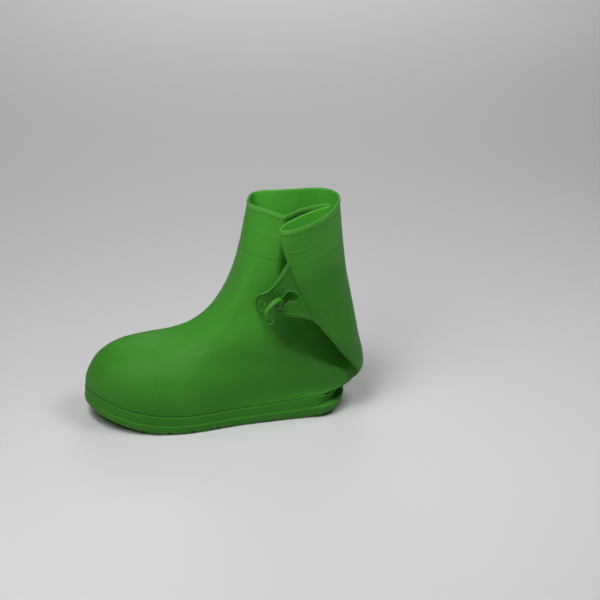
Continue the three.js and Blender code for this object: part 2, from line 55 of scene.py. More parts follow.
# Outline of the upper, one row per section from the sole's edge up to the rim: the toe's x and z,
# the ball's x, outer y, inner y and z, the heel side's x, y and z, the back's x, y and z, and how far
# the sides draw in between ball and heel. Shares of reach, girth and shaft.
SECTIONS = np.array([
    [-1.010, 0.15, -0.36, -1.04, 0.90, 0.09, 0.66, 0.68, 0.11, 0.846, 0.05, 0.11, 0.09],
    [-1.005, 0.19, -0.36, -1.05, 0.92, 0.15, 0.67, 0.70, 0.17, 0.940, 0.05, 0.17, 0.07],
    [-0.975, 0.24, -0.36, -1.02, 0.90, 0.21, 0.68, 0.71, 0.23, 0.970, 0.06, 0.23, 0.05],
    [-0.925, 0.29, -0.34, -0.93, 0.82, 0.27, 0.69, 0.71, 0.30, 0.978, 0.07, 0.30, 0.04],
    [-0.820, 0.34, -0.30, -0.80, 0.71, 0.31, 0.69, 0.71, 0.37, 0.965, 0.08, 0.38, 0.03],
    [-0.665, 0.365, -0.25, -0.68, 0.61, 0.345, 0.68, 0.71, 0.44, 0.950, 0.09, 0.46, 0.02],
    [-0.480, 0.375, -0.18, -0.60, 0.54, 0.375, 0.66, 0.71, 0.51, 0.937, 0.10, 0.54, 0.00],
    [-0.305, 0.393, -0.09, -0.54, 0.50, 0.425, 0.65, 0.71, 0.58, 0.923, 0.11, 0.61, 0.00],
    [-0.142, 0.45, 0.00, -0.50, 0.51, 0.49, 0.64, 0.71, 0.65, 0.908, 0.12, 0.67, 0.00],
    [-0.018, 0.54, 0.08, -0.48, 0.53, 0.58, 0.63, 0.71, 0.72, 0.898, 0.13, 0.74, 0.00],
    [0.071, 0.65, 0.15, -0.45, 0.56, 0.68, 0.63, 0.70, 0.79, 0.888, 0.14, 0.81, 0.00],
    [0.130, 0.77, 0.21, -0.40, 0.60, 0.79, 0.64, 0.69, 0.87, 0.879, 0.15, 0.88, 0.00],
    [0.172, 0.89, 0.26, -0.34, 0.63, 0.91, 0.66, 0.66, 0.94, 0.871, 0.16, 0.95, 0.00],
    [0.210, 1.013, 0.31, -0.28, 0.66, 1.016, 0.69, 0.63, 1.018, 0.863, 0.17, 1.017, 0.00],
])

# The pleat on the outer side, one row per section: the corner where the near wall turns in, the
# fold's root near the back wall and its free edge, each as x, y and z, then how round the free edge
# is, how round the corner is, how the inner walls bow, and how far the outer flap bellies out.
PLEAT = np.array([
    [0.685, -0.79, 0.11, 0.75, -0.70, 0.11, 0.805, -0.48, 0.11, 0.02, 0.06, 0.00, 0.05],
    [0.880, -0.68, 0.16, 0.93, -0.53, 0.16, 0.958, -0.37, 0.15, 0.03, 0.06, 0.00, 0.11],
    [0.855, -0.72, 0.22, 0.905, -0.62, 0.22, 0.968, -0.61, 0.205, 0.03, 0.06, 0.00, 0.12],
    [0.700, -0.78, 0.28, 0.885, -0.35, 0.30, 0.895, -0.76, 0.28, 0.07, 0.20, 0.02, 0.13],
    [0.500, -0.79, 0.35, 0.86, -0.23, 0.37, 0.800, -0.91, 0.36, 0.07, 0.25, 0.05, 0.17],
    [0.380, -0.78, 0.40, 0.84, -0.17, 0.44, 0.740, -1.00, 0.42, 0.07, 0.25, 0.08, 0.20],
    [0.340, -0.75, 0.46, 0.82, -0.15, 0.51, 0.670, -1.06, 0.48, 0.07, 0.20, 0.10, 0.22],
    [0.335, -0.72, 0.52, 0.80, -0.15, 0.58, 0.610, -1.11, 0.55, 0.07, 0.16, 0.10, 0.22],
    [0.345, -0.69, 0.60, 0.79, -0.17, 0.64, 0.560, -1.15, 0.62, 0.07, 0.13, 0.10, 0.22],
    [0.360, -0.66, 0.69, 0.78, -0.20, 0.71, 0.505, -1.17, 0.70, 0.07, 0.12, 0.10, 0.22],
    [0.375, -0.62, 0.78, 0.77, -0.24, 0.79, 0.450, -1.19, 0.78, 0.08, 0.12, 0.10, 0.22],
    [0.390, -0.60, 0.86, 0.765, -0.27, 0.86, 0.400, -1.20, 0.86, 0.10, 0.12, 0.10, 0.23],
    [0.405, -0.59, 0.93, 0.770, -0.24, 0.94, 0.370, -1.22, 0.93, 0.12, 0.12, 0.10, 0.24],
    [0.425, -0.59, 1.01, 0.775, -0.22, 1.015, 0.355, -1.21, 1.005, 0.14, 0.12, 0.10, 0.25],
])
TOE_Y = 0.13  # share of girth at which the toe's tip lies
CORNER = 7  # which of a section's points is the corner where the near wall turns in
FOLD_EDGE = 16  # which of a section's points lies on the fold's free edge
BACK = 21  # and which on the back
ROOT_TURN = 0.0035  # how far from the fold's root its two walls begin to turn
ROOT_HALF = 0.0013  # half the distance between the two walls at the root
LOBE_LENGTH = 1.2  # length of the free edge's round, as a share of its radius
PAINTED_LIGHT_FROM = (0.080, 0.175)  # heights from which the outer face is painted lighter with painted light, elsewhere and on the flap
PAINTED_LIGHT_OVER = 0.045  # over how much height it does so
FOLD_SHADE = (0.105, 0.135)  # heights between which the shade inside the fold ends

# Columns taken on each stretch between two of a section's points.
STRETCHES = [40, 36, 40, 30, 30, 26, 14, 12, 18, 18, 16, 10, 8, 16, 16, 12, 12, 12,
             14, 16, 16, 14, 12, 12, 24, 30, 28, 26, 34, 40]

# Free outline of the strap, x and z as shares of reach and shaft, from the upper end of its seam
# round the head to the lower end.
STRAP_EDGE = np.array([
    [0.398, 0.835], [0.373, 0.788], [0.344, 0.744], [0.313, 0.708], [0.270, 0.677],
    [0.231, 0.667], [0.206, 0.652], [0.193, 0.632], [0.193, 0.606], [0.204, 0.576],
    [0.229, 0.542], [0.262, 0.518], [0.294, 0.503], [0.316, 0.505], [0.337, 0.527],
    [0.361, 0.546], [0.388, 0.554], [0.452, 0.548], [0.530, 0.547], [0.594, 0.538],
])
SEAM_TOP, SEAM_FOOT = 0.856, 0.516  # heights of the strap's seam, as shares of shaft
KEYHOLE = np.array([0.450, 0.664])
SLOT_END = np.array([0.315, 0.592])
NUBS = np.array([[0.234, 0.623], [0.273, 0.610], [0.247, 0.576], [0.285, 0.537]])
HEAD_FROM, HEAD_TO = (0.30, 0.36), (0.68, 0.74)  # where along the outline its head begins and ends
BORDER_WIDE, BORDER_NARROW = 0.0064, 0.0034  # width of the upper border at the seam and at the head

# The button's middle as shares of reach and shaft, the way its length lies and the way it faces.
BUTTON_AT = np.array([0.334, 0.624])
BUTTON_LONG = np.array([0.77, 0.17, 0.61])
BUTTON_FACE = np.array([0.4, -0.82, -0.4])
EYE_SHIFT = 0.17  # how far the eye lies from the button's middle, as a share of its length
# The button's outline from the middle of its back round its rim to the eye, as radius and height.
BUTTON_PROFILE = np.array([
    [0, -0.42], [0.35, -0.47], [0.65, -0.48], [0.85, -0.45], [0.95, -0.36], [0.99, -0.22],
    [1.0, 0.0], [0.99, 0.22], [0.96, 0.34], [0.91, 0.41], [0.85, 0.43], [0.80, 0.40], [0.76, 0.34],
    [0.70, 0.32], [0.50, 0.33], [0.38, 0.33], [0.34, 0.37], [0.30, 0.43], [0.25, 0.45], [0.20, 0.41],
    [0.16, 0.28], [0.13, 0.12], [0, 0.08],
])
STEM_SHIFT = np.array([0.0015, 0.0012])  # the stem's axis from the slot's end, along x and z
# The stem's outline from the button to the shaft's wall, as depth and share of its radius.
STEM_PROFILE = [(0.0, 1.0), (0.004, 1.0), (0.012, 1.0), (0.0165, 1.1), (0.019, 1.5), (0.021, 2.1)]

# Grooves across the tread and the waist's arch, as shares of reach.
GROOVES = [-0.92, -0.775, -0.625, -0.445, -0.27, -0.09, 0.63, 0.79]
ARCH = (0.12, 0.42)
ARCH_HEIGHT = 0.0032

TOE_LIFT_START = 0.066  # distance before the middle at which the tread starts to rise
TREAD_TUCK, TOE_TUCK, HEEL_TUCK = 0.001, 0.005, 0.002  # how far the tread is drawn in, and how much more
LEDGE_RISE = 0.09  # how much higher the ledge stands, as a share of the side's height
LEDGE_BROAD_AT, LEDGE_BROAD_OVER = 0.74, 0.20  # where the ledge is broadest, as shares of reach
LEDGE_BROADER = 0.35  # how much broader it is there


def length(name, description, default):
    return bpy.props.FloatProperty(
        name=name, description=description, default=default, min=0, precision=5,
        unit="LENGTH", subtype="DISTANCE",
    )


def share(name, description, default):
    return bpy.props.FloatProperty(
        name=name, description=description, default=default, min=0, max=1, subtype="FACTOR",
    )


def tint(name, description, default):
    return bpy.props.FloatVectorProperty(
        name=name, description=description, default=default, size=3, min=0, max=1, subtype="COLOR",
    )


class UpperSizes(bpy.types.PropertyGroup):
    reach: length("Reach", "Half the foot's length", 0.160)
    girth: length("Girth", "Half the width over the ball", 0.060)
    shaft: length("Shaft", "Height of the shaft under its rim bead", 0.250)
    wall: length("Wall", "Thickness of the rubber", 0.0022)
    bead: length("Rim bead", "How far the band at the rim stands out, at its foot", 0.0008)
    bead_top: length("Rim bead's top", "How far it stands out at the very top", 0.0004)
    bead_band: length("Rim band", "Height of the band at the rim", 0.0052)
    ridge: length("Ridge", "How far the moulded ridge stands out", 0.0003)
    ridge_drop: length("Ridge drop", "Distance of the ridge under the rim", 0.0275)
    groove: length("Groove", "Depth of the moulded groove", 0.0002)
    groove_drop: length("Groove drop", "Distance of the groove under the rim, near wall", 0.055)
    flap_drop: length("Groove drop on the flap", "The same on the outer flap", 0.048)


class SoleSizes(bpy.types.PropertyGroup):
    band_top: length("Band", "Height of the side band over the ball", 0.023)
    toe_lift: length("Toe lift", "How far the tread rises at the toe", 0.015)
    toe_band: length("Toe band", "How much higher the band stands at the toe", 0.015)
    heel_band: length("Heel band", "How much higher the band stands at the heel", 0.006)
    floor: length("Floor", "Thickness of the sole under the foot", 0.009)
    lip: length("Lip", "Width of the sole's edge under the upper", 0.0045)
    cleat_depth: length("Cleat depth", "Depth of the grooves across the tread", 0.0035)
    cleat_gap: length("Cleat gap", "Width of the grooves across the tread", 0.0045)
    band_step: length("Band step", "How far the side band stands out from the upper", 0.0009)
    edge_step: length("Edge step", "How far the sole's lower edge stands out", 0.0017)
    ledge: length("Ledge", "How far the kick-off ledge stands out at the heel", 0.0036)
    neck: length("Neck", "How far the band is drawn in above the ledge", 0.001)


class StrapSizes(bpy.types.PropertyGroup):
    thick: length("Thickness", "Thickness of the strap's panel", 0.0024)
    border: length("Border", "Height of the raised border", 0.0012)
    keyhole: length("Keyhole", "Radius of the round hole", 0.0069)
    slot: length("Slot", "Half the width of the slot", 0.004)
    nub: length("Nub", "Radius of the small round nubs", 0.002)
    span: length("Span", "Length over which the strap bends", 0.051)


class ButtonSizes(bpy.types.PropertyGroup):
    long: length("Length", "Length of the button", 0.027)
    wide: length("Width", "Width of the button", 0.018)
    deep: length("Depth", "Thickness of the button", 0.006)
    stand_off: length("Stand-off", "From the strap's face to the button's middle", 0.010)
    stem: length("Stem", "Radius of the stem", 0.0028)


class FinishLook(bpy.types.PropertyGroup):
    upper: tint("Upper", "Colour of the upper's rubber", (0.047, 0.228, 0.023))
    sole: tint("Sole", "Colour of the sole's rubber", (0.043, 0.212, 0.021))
    # Painted highlight: how much paler the marked rims, ridges, beads and borders are painted
    light: share("Edge light", "How much paler thin edges look", 0.35)
    # Painted light: how much lighter the inner face is painted than the outer
    lining: bpy.props.FloatProperty(
        name="Lining", description="How much lighter the inner face is than the outer", default=2.1, min=0,
    )
    # Painted light: how much lighter the outer face is painted high on the shaft
    thin: bpy.props.FloatProperty(
        name="Thin", description="How much lighter the thin rubber high on the shaft is", default=1.38, min=0,
    )
    roughness: share("Roughness", "Roughness of the rubber's skin", 0.5)
    grain: length("Grain", "Depth of the skin's fine grain", 0.00003)


class StageLook(bpy.types.PropertyGroup):
    floor: tint("Floor", "Colour of the floor", (0.66, 0.66, 0.66))
    overhead: bpy.props.FloatProperty(
        name="Overhead", description="Power of the light high above, in watts", default=22, min=0,
    )
    front: bpy.props.FloatProperty(
        name="Front", description="Power of the near light at the front, in watts", default=2.6, min=0,
    )
    heel: bpy.props.FloatProperty(
        name="Heel", description="Power of the light over the heel, in watts", default=4.2, min=0,
    )
    far_floor: bpy.props.FloatProperty(
        name="Far floor", description="Power of the light over the floor behind, in watts", default=22, min=0,
    )
    sky: bpy.props.FloatProperty(
        name="Sky", description="Strength of the light from all round", default=0.02, min=0,
    )


# Curves and surfaces

def smooth(value, start, end):
    t = np.clip((value - start) / (end - start), 0, 1)
    return t * t * (3 - 2 * t)


def bump(distance, width):
    """A rounded rise of one at distance nought that ends at half a width."""
    t = np.clip(np.abs(distance) / (width / 2), 0, 1)
    return (1 - t * t) ** 2


def unit(vectors):
    return vectors / np.maximum(np.linalg.norm(vectors, axis=-1, keepdims=True), 1e-12)


def mix(a, b, t):
    return a + (b - a) * t


def spline(points, where, closed=False):
    """Places on the centripetal curve through points, at shares of its spans."""
    count = len(points)
    spans = count if closed else count - 1
    place = np.clip(np.asarray(where, float), 0, 1) * spans
    start = np.minimum(np.floor(place).astype(int), spans - 1)
    weight = (place - start).reshape(-1, *[1] * (points.ndim - 1))
    if closed:
        taken = [points[(start + k) % count] for k in (-1, 0, 1, 2)]
    else:
        longer = np.concatenate([[2 * points[0] - points[1]], points, [2 * points[-1] - points[-2]]])
        taken = [longer[start + k] for k in (0, 1, 2, 3)]
    p0, p1, p2, p3 = taken
    steps = [np.linalg.norm(b - a, axis=-1, keepdims=True) ** 0.5 for a, b in ((p0, p1), (p1, p2), (p2, p3))]
    d0, d1, d2 = (np.maximum(step, 1e-5) for step in steps)
    t1 = ((p1 - p0) / d0 - (p2 - p0) / (d0 + d1) + (p2 - p1) / d1) * d1
    t2 = ((p2 - p1) / d1 - (p3 - p1) / (d1 + d2) + (p3 - p2) / d2) * d1
    cubic = 2 * p1 - 2 * p2 + t1 + t2
    square = -3 * p1 + 3 * p2 - 2 * t1 - t2
    return p1 + weight * (t1 + weight * (square + weight * cubic))


def spaced(points, count):
    """Count places at equal distances along a polyline, its ends included."""
    run = np.concatenate([[0], np.cumsum(np.linalg.norm(np.diff(points, axis=0), axis=1))])
    at = np.linspace(0, run[-1], count)
    return np.stack([np.interp(at, run, points[:, i]) for i in range(points.shape[1])], axis=1)


def from_line(places, line):
    """Each place's distance from a polyline, and the share of the line where it is nearest."""
    best = np.full(len(places), np.inf)
    where = np.zeros(len(places))
    for i, (a, b) in enumerate(zip(line[:-1], line[1:])):
        along = b - a
        t = np.clip((places - a) @ along / max(along @ along, 1e-18), 0, 1)
        gap = np.linalg.norm(places - a - t[:, None] * along, axis=1)
        nearer = gap < best
        best = np.where(nearer, gap, best)
        where = np.where(nearer, (i + t) / (len(line) - 1), where)
    return best, where


def towards(start, end, distance):
    return start + unit((end - start) * FLAT) * distance


def bowed(start, end, t, amount):
    along = unit((end - start) * FLAT)
    out = np.array([along[1], -along[0], 0])
    return mix(start, end, t) + out * amount * 4 * t * (1 - t)


def quarter(end, side, degrees, fullness=0.88):
    """A point on a rounded quarter between an end of the foot and its widest place."""
    turn = math.radians(degrees)
    return np.array([
        mix(side[0], end[0], math.cos(turn) ** fullness),
        mix(end[1], side[1], math.sin(turn) ** fullness),
        mix(end[2], side[2], 1 - math.cos(turn)),
    ])


def outer_quarter(end, side, following, degrees):
    """The same between the toe's tip and the ball, with its end turned into the wall that follows."""
    turn = math.radians(degrees)
    slope = min(0, (following[1] - side[1]) / (following[0] - side[0]))
    middle = end[1] + slope * (side[0] - end[0])
    point = quarter(end, side, degrees, 1)
    point[1] = middle + (side[1] - middle) * math.sin(turn) + (end[1] - middle) * math.cos(turn)
    return point


def section(plain, pleat, upper):
    """The thirty points that one section passes through, from the toe round the outer side."""
    scale = np.array([upper.reach, upper.girth, upper.shaft])
    front = np.array([plain[0], TOE_Y, plain[1]]) * scale
    ball_out = plain[[2, 3, 5]] * scale
    ball_in = plain[[2, 4, 5]] * scale
    heel_in, back = plain[6:9] * scale, plain[9:12] * scale
    corner, root, edge = pleat[0:3] * scale, pleat[3:6] * scale, pleat[6:9] * scale
    pinch = -plain[12] * upper.girth
    lobe, turn, bow, belly = pleat[9:13] * upper.girth
    across = unit((corner - edge) * FLAT)
    root_near = towards(root, corner, ROOT_TURN) + across * ROOT_HALF
    root_far = towards(root, edge, ROOT_TURN) - across * ROOT_HALF
    outside = bowed(edge, back, 0.25, belly)
    lobe_across = unit((mix(edge, root, 0.4) - outside) * FLAT)
    edge_near = towards(edge, root, LOBE_LENGTH * lobe) + lobe_across * lobe
    edge_far = towards(edge, outside, LOBE_LENGTH * lobe) - lobe_across * lobe
    before, after = towards(corner, ball_out, turn), towards(corner, root, turn)
    return [
        front, outer_quarter(front, ball_out, before, 30), outer_quarter(front, ball_out, before, 60),
        ball_out,
        bowed(ball_out, before, 0.44, pinch * 0.6), bowed(ball_out, before, 0.75, pinch * 0.6),
        before, corner, after,
        bowed(after, root_near, 0.33, -bow), bowed(after, root_near, 0.66, -bow),
        root_near, root_far,
        bowed(root_far, edge_near, 0.33, 0.6 * bow), bowed(root_far, edge_near, 0.66, 0.6 * bow),
        edge_near, edge, edge_far,
        bowed(edge_far, back, 0.25, belly), bowed(edge_far, back, 0.5, belly),
        bowed(edge_far, back, 0.76, belly),
        back, quarter(back, heel_in, 30), quarter(back, heel_in, 60), heel_in,
        bowed(heel_in, ball_in, 0.28, 1.5 * pinch), bowed(heel_in, ball_in, 0.62, 1.5 * pinch),
        ball_in, quarter(front, ball_in, 60), quarter(front, ball_in, 30),
    ]


def lift_at(x, upper, sole):
    run = upper.reach - TOE_LIFT_START
    return sole.toe_lift * np.maximum(0, (-x - TOE_LIFT_START) / run) ** 2


def band_at(x, upper, sole):
    toe = sole.toe_band * smooth(-x, 0.5 * upper.reach, 0.94 * upper.reach)
    return sole.band_top + toe + sole.heel_band * smooth(x, 0.25 * upper.reach, 0.7 * upper.reach)


def knots(upper, sole):
    """Every point that the upper's surface passes through, row by row."""
    rows = np.array([section(a, b, upper) for a, b in zip(SECTIONS, PLEAT)])
    rows[0, :, 2] = band_at(rows[0, :, 0], upper, sole)
    return rows


def columns():
    return np.concatenate([k + np.arange(n) / n for k, n in enumerate(STRETCHES)]) / len(STRETCHES)


def surface(rows, heights, around):
    """The upper's surface at shares of its height and shares of the way round."""
    rails = spline(rows, heights)
    return spline(rails.transpose(1, 0, 2), around, closed=True).transpose(1, 0, 2)


def normals_of(grid):
    along = np.roll(grid, -1, axis=1) - np.roll(grid, 1, axis=1)
    return unit(np.cross(along, np.gradient(grid, axis=0)))


# Mesh helpers

def ring_faces(rings, size, joined):
    """Quads between rings of equal length; the last ring also joins the first if joined."""
    j = np.arange(size)
    n = (j + 1) % size
    faces = []
    for k in range(rings if joined else rings - 1):
        low, high = k * size, ((k + 1) % rings) * size
        faces.append(np.stack([low + j, low + n, high + n, high + j], axis=1))
    return np.concatenate(faces).tolist()


def cap(ring, size, centre, flip):
    """A fan of triangles from a ring to its middle."""
    j = np.arange(size)
    n = (j + 1) % size
    middle = np.full(size, centre)
    fan = [middle, ring * size + n, ring * size + j] if flip else [middle, ring * size + j, ring * size + n]
    return np.stack(fan, axis=1).tolist()


def new_mesh(name, points, faces):
    mesh = bpy.data.meshes.new(name)
    mesh.from_pydata((points + GROUND).tolist(), [], faces)
    solid = bmesh.new()
    solid.from_mesh(mesh)
    if solid.calc_volume(signed=True) < 0:
        bmesh.ops.reverse_faces(solid, faces=solid.faces)
    solid.to_mesh(mesh)
    solid.free()
    mesh.shade_smooth()
    return mesh


def mark(mesh, name, values):
    layer = mesh.attributes.new(name, "FLOAT", "POINT")
    layer.data.foreach_set("value", np.ascontiguousarray(values, np.float32).ravel())


def shown(name, mesh):
    piece = bpy.data.objects.new(name, mesh)
    bpy.context.scene.collection.objects.link(piece)
    return piece


def dress(piece, material, node):
    piece.data.materials.clear()
    piece.data.materials.append(material)
    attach(piece, "root")
    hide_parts(node)


# Materials

class Socket:
    """A shader socket that sums, differences and products are written with."""

    def __init__(self, shader, link):
        self.shader = shader
        self.link = link

    def maths(self, operation, first, second):
        return self.shader.node("ShaderNodeMath", {"operation": operation}, {0: first, 1: second})

    def __add__(self, other):
        return self.maths("ADD", self, other)

    __radd__ = __add__

    def __sub__(self, other):
        return self.maths("SUBTRACT", self, other)

    def __rsub__(self, other):
        return self.maths("SUBTRACT", other, self)

    def __mul__(self, other):
        return self.maths("MULTIPLY", self, other)


class Shader:
    """One material's nodes round a principled shader."""

    def __init__(self, name):
        self.material = bpy.data.materials.new(name)
        self.material.use_nodes = True
        self.tree = self.material.node_tree
        self.surface = self.tree.nodes["Principled BSDF"]

    def node(self, kind, settings, sockets, output=0):
        made = self.tree.nodes.new(kind)
        for key, value in settings.items():
            setattr(made, key, value)
        for key, value in sockets.items():
            self.put(made.inputs[key], value)
        return Socket(self, made.outputs[output])

    def put(self, target, value):
        if isinstance(value, Socket):
            self.tree.links.new(value.link, target)
        else:
            target.default_value = value

    def noise(self, place, scale, detail=2.0, rough=0.5):
        return self.node(
            "ShaderNodeTexNoise", {},
            {"Vector": place, "Scale": scale, "Detail": detail, "Roughness": rough}, "Fac",
        )

    def clamped(self, value, start, end, low=0.0, high=1.0):
        return self.node(
            "ShaderNodeMapRange", {"interpolation_type": "SMOOTHSTEP"},
            {"Value": value, "From Min": start, "From Max": end, "To Min": low, "To Max": high},
        )

    def blend(self, factor, first, second):
        return self.node(
            "ShaderNodeMix", {"data_type": "RGBA"},
            {"Factor": factor, 6: first, 7: second}, 2,
        )

    def faint_line(self, name):
        """One where a line's signed distance is nearly nought and the line shows."""
        gap = self.node("ShaderNodeAttribute", {"attribute_name": name}, {}, "Fac")
        shows = self.node("ShaderNodeAttribute", {"attribute_name": name + "_shows"}, {}, "Fac")
        return self.clamped(gap.maths("ABSOLUTE", gap, 0.0), 0.0003, 0.0009, 1.0, 0.0) * shows

    def bump(self, height, depth, under=None):
        sockets = {"Height": height, "Distance": depth, "Strength": 1.0}
        if under:
            sockets["Normal"] = under
        return self.node("ShaderNodeBump", {}, sockets, "Normal")


def toned(colour, gain):
    return (*[min(1.0, c * gain) for c in colour], 1.0)


def rubber(name, colour, look):
    """Satin moulded rubber: mottled green, finely grained, with painted highlights on edges, painted shade in
    hollows and painted light high on the shaft and on the inner face.
    """
    shader = Shader(name)
    place = shader.node("ShaderNodeTexCoord", {}, {}, "Object")
    patches = shader.noise(place, 16.0, 3.0)
    mottle = shader.noise(place, 230.0, 3.0, 0.6)
    grain = shader.noise(place, 1500.0, 2.0)
    pores = shader.node(
        "ShaderNodeTexVoronoi", {"feature": "F1"}, {"Vector": place, "Scale": 620.0}, "Distance",
    )
    waves = shader.noise(place, 34.0, 2.0)
    # Masks made with the meshes: painted highlight on edges, painted shade in hollows, painted light on the
    # inner face and high on the shaft
    edge = shader.node("ShaderNodeAttribute", {"attribute_name": "edge"}, {}, "Fac")
    hollow = shader.node("ShaderNodeAttribute", {"attribute_name": "hollow"}, {}, "Fac")
    lines = shader.faint_line("along") + shader.faint_line("across")
    lining = shader.node("ShaderNodeAttribute", {"attribute_name": "lining"}, {}, "Fac")
    thin = shader.node("ShaderNodeAttribute", {"attribute_name": "thin"}, {}, "Fac")

    body = shader.blend(shader.clamped(patches, 0.3, 0.7), toned(colour, 0.93), toned(colour, 1.07))
    body = shader.blend(shader.clamped(mottle, 0.35, 0.75, 0.0, 0.35), body, toned(colour, 1.16))
    # Painted light: the outer face is painted lighter high on the shaft
    body = shader.blend(thin, body, toned(colour, look.thin))
    # Painted highlight: marked rims, ridges, beads and borders are painted paler
    body = shader.blend(edge * look.light, body, toned([c ** 0.8 for c in colour], 1.5))
    # Painted shade: grooves, crevices and the fold under the flap are painted darker
    body = shader.blend(hollow * 0.45, body, toned(colour, 0.35))
    # Painted light: the inner face is painted lighter
    body = shader.blend(lining, body, toned(colour, look.lining))
    body = shader.blend(lines * 0.16, body, toned(colour, 0.6))
    shader.put(shader.surface.inputs["Base Color"], body)

    rough = look.roughness + (mottle - 0.5) * 0.16 + (patches - 0.5) * 0.12 + hollow * 0.1
    shader.put(shader.surface.inputs["Roughness"], rough)
    skin = shader.bump(waves - lines * 0.12, 0.0009)
    skin = shader.bump(grain + (1 - pores) * 0.5, look.grain, skin)
    shader.put(shader.surface.inputs["Normal"], skin)
    shader.surface.inputs["Specular IOR Level"].default_value = 0.1
    return shader.material


# Upper

def on_flap_at(around):
    """One on the outer flap, nought elsewhere round the shaft."""
    fold = FOLD_EDGE / len(STRETCHES)
    back = BACK / len(STRETCHES)
    return smooth(around, fold - 0.03, fold + 0.02) * (1 - smooth(around, back, back + 0.1))


def drops(upper, below, around):
    """Distances under the rim at which each column of the upper has its rows, from the foot up."""
    groove = mix(upper.groove_drop, upper.flap_drop, on_flap_at(around))[None, :]
    ridge = upper.ridge_drop
    band = upper.bead_band
    half = (upper.wall + upper.bead_top) / 2
    parts = [
        mix(below[None, :], groove + 0.002, np.linspace(0, 1, 100)[:, None]),
        groove + np.array([0.0013, 0.0009, 0.0005, 0.0002, -0.0002, -0.0005, -0.0009, -0.0013])[:, None],
        mix(groove - 0.002, ridge + 0.002, np.linspace(0, 1, 10)[:, None]),
        np.broadcast_to(ridge + np.linspace(0.0014, -0.0014, 10)[:, None], (10, len(around))),
        np.broadcast_to(np.linspace(ridge - 0.002, band + 0.0012, 9)[:, None], (9, len(around))),
        np.broadcast_to(np.linspace(band + 0.0006, band - 0.0006, 5)[:, None], (5, len(around))),
        np.broadcast_to(np.linspace(band - 0.001, half, 4)[:, None], (4, len(around))),
    ]
    return np.concatenate(parts), groove


def along_columns(dense, run, wanted):
    """Places on each column at wanted distances under its upper end."""
    result = np.empty((*wanted.shape, 3))
    for j in range(dense.shape[1]):
        for i in range(3):
            result[:, j, i] = np.interp(-wanted[:, j], -run[:, j], dense[:, j, i])
    return result


# Faint mould lines. The first list runs over the toe cap and the instep, as x and y, then as z and
# y; the others run down the outer side, as z and x. In metres.
CAP_LINE = np.array([[-0.141, 0.0073], [-0.131, -0.003], [-0.120, -0.009], [-0.109, -0.0133],
                     [-0.0975, -0.0165], [-0.083, -0.0193], [-0.053, -0.026]])
INSTEP_LINE = np.array([[0.094, -0.026], [0.099, -0.019], [0.104, -0.0076], [0.116, 0.0095],
                        [0.130, 0.018], [0.150, 0.014], [0.175, 0.0003], [0.189, -0.0087]])
CAP_SIDE = np.array([[0.042, -0.077], [0.059, -0.0826], [0.075, -0.085], [0.092, -0.083]])
FAINT_SIDE = np.array([[0.077, 0.010], [0.098, 0.0236]])
CREASE_SIDE = np.array([[0.058, 0.0301], [0.073, 0.0352], [0.083, 0.0379], [0.104, 0.0396]])
INSTEP_LOW, INSTEP_HIGH = 0.104, 0.181  # heights round which the instep's line shows
SIDE_FADE = 0.004  # over how much height a side line fades at its ends, and how far its distance counts


def mould_lines(points):
    """Signed distances from the faint lines along and across the foot, and where each shows."""
    x, y, z = points[..., 0], points[..., 1], points[..., 2]
    cap_y = np.interp(x, CAP_LINE[:, 0], CAP_LINE[:, 1])
    instep_y = np.interp(z, INSTEP_LINE[:, 0], INSTEP_LINE[:, 1])
    on_cap = (z > 0.055) * smooth(x, -0.145, -0.140) * (1 - smooth(x, -0.086, -0.080))
    on_instep = (x > -0.06) * (x < 0.06) * (z > 0.09)
    off_low = smooth(np.abs(z - INSTEP_LOW), 0.006, 0.012)
    off_high = smooth(np.abs(z - INSTEP_HIGH), 0.005, 0.011)
    on_instep = on_instep * (1 - off_low * off_high)
    along = y - np.where(x < -0.053, cap_y, instep_y)
    lines = (CAP_SIDE, FAINT_SIDE, CREASE_SIDE)
    side, faint, crease = (x - np.interp(z, line[:, 0], line[:, 1]) for line in lines)

    def nearest(on_side, on_faint, on_crease):
        return np.where(x < -0.04, on_side, np.where(faint + crease < 0, on_faint, on_crease))

    across = nearest(side, -faint, crease)
    low = nearest(*[line[0, 0] for line in lines])
    high = nearest(*[line[-1, 0] for line in lines])
    from_low = smooth(z, low - SIDE_FADE, low + SIDE_FADE)
    past_high = smooth(z, high - SIDE_FADE, high + SIDE_FADE)
    shown_across = (y < -0.018) * from_low * (1 - past_high)
    along, across = (np.clip(gap, -SIDE_FADE, SIDE_FADE) for gap in (along, across))
    return along, on_cap + on_instep, across, shown_across


